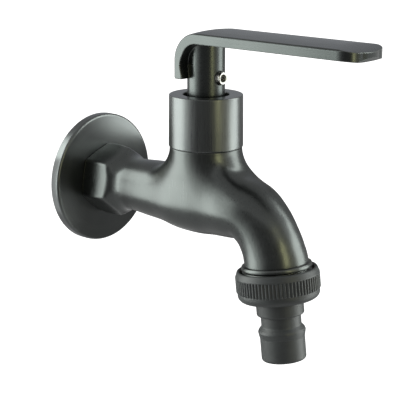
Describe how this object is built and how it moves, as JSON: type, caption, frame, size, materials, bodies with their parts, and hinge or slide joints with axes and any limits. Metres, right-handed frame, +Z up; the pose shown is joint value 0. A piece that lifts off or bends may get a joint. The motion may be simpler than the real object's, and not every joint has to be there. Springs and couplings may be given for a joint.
{
  "type": "hose bibb",
  "caption": "Quarter-turn garden tap with a lever on a ceramic cartridge, a wall flange, a threaded inlet and a hose nipple held by a union nut.",
  "frame": {"origin": "centre of the wall plane, where the flange's rim rests, on the inlet's axis", "axes": "+X runs out of the wall along the inlet, +Z is up along the spindle, +Y completes the right hand"},
  "size_m": [0.146, 0.0518, 0.1198],
  "materials": {
    "gunmetal_brass": "brushed, with a dark gunmetal PVD coat",
    "gunmetal_zinc": "satin cast zinc with the same dark gunmetal coat",
    "plain_brass": "turned, uncoated",
    "stainless_steel": "plain bright",
    "black_nylon": "moulded, semi-matt",
    "white_nylon": "moulded",
    "black_rubber": "moulded",
    "ceramic": "lapped alumina"
  },
  "bodies": {
    "tap": {"body_casting": "gunmetal_brass", "wall_flange": "gunmetal_brass", "flange_gasket": "black_rubber", "bonnet_sleeve": "gunmetal_brass", "sleeve_washer": "white_nylon", "headwork_housing": "plain_brass", "headwork_gasket": "black_rubber", "guide_ring": "black_nylon", "fixed_disc": "ceramic", "seat_seal": "black_rubber"},
    "lever": {"lever_handle": "gunmetal_zinc", "spline_bush": "white_nylon", "grub_screw": "stainless_steel", "spindle": "plain_brass", "spindle_circlip": "stainless_steel", "slide_washer": "white_nylon", "spindle_o_ring_lower": "black_rubber", "spindle_o_ring_upper": "black_rubber", "rotating_disc": "ceramic"},
    "adapter": {"hose_nipple": "black_nylon", "nipple_washer": "black_rubber"},
    "nut": {"union_nut": "black_nylon"}
  },
  "joints": [
    {"name": "lever_turn", "type": "hinge", "parent": "tap", "child": "lever", "pos_m": [0.05835, 0, 0.05], "axis": [0, 0, 1], "range_deg": [0, 90]},
    {"name": "adapter_draw", "type": "slide", "parent": "tap", "child": "adapter", "axis": [0.1219, 0, -0.9925], "range_m": [0, 0.0064]},
    {"name": "nut_turn", "type": "hinge", "parent": "adapter", "child": "nut", "pos_m": [0.09339, 0, -0.02252], "axis": [0.1219, 0, -0.9925], "range_deg": [0, 1271]}
  ],
  "couplings": [
    {"joint": "nut_turn", "follows": "adapter_draw", "rad_per_m": 3463.7}
  ]
}
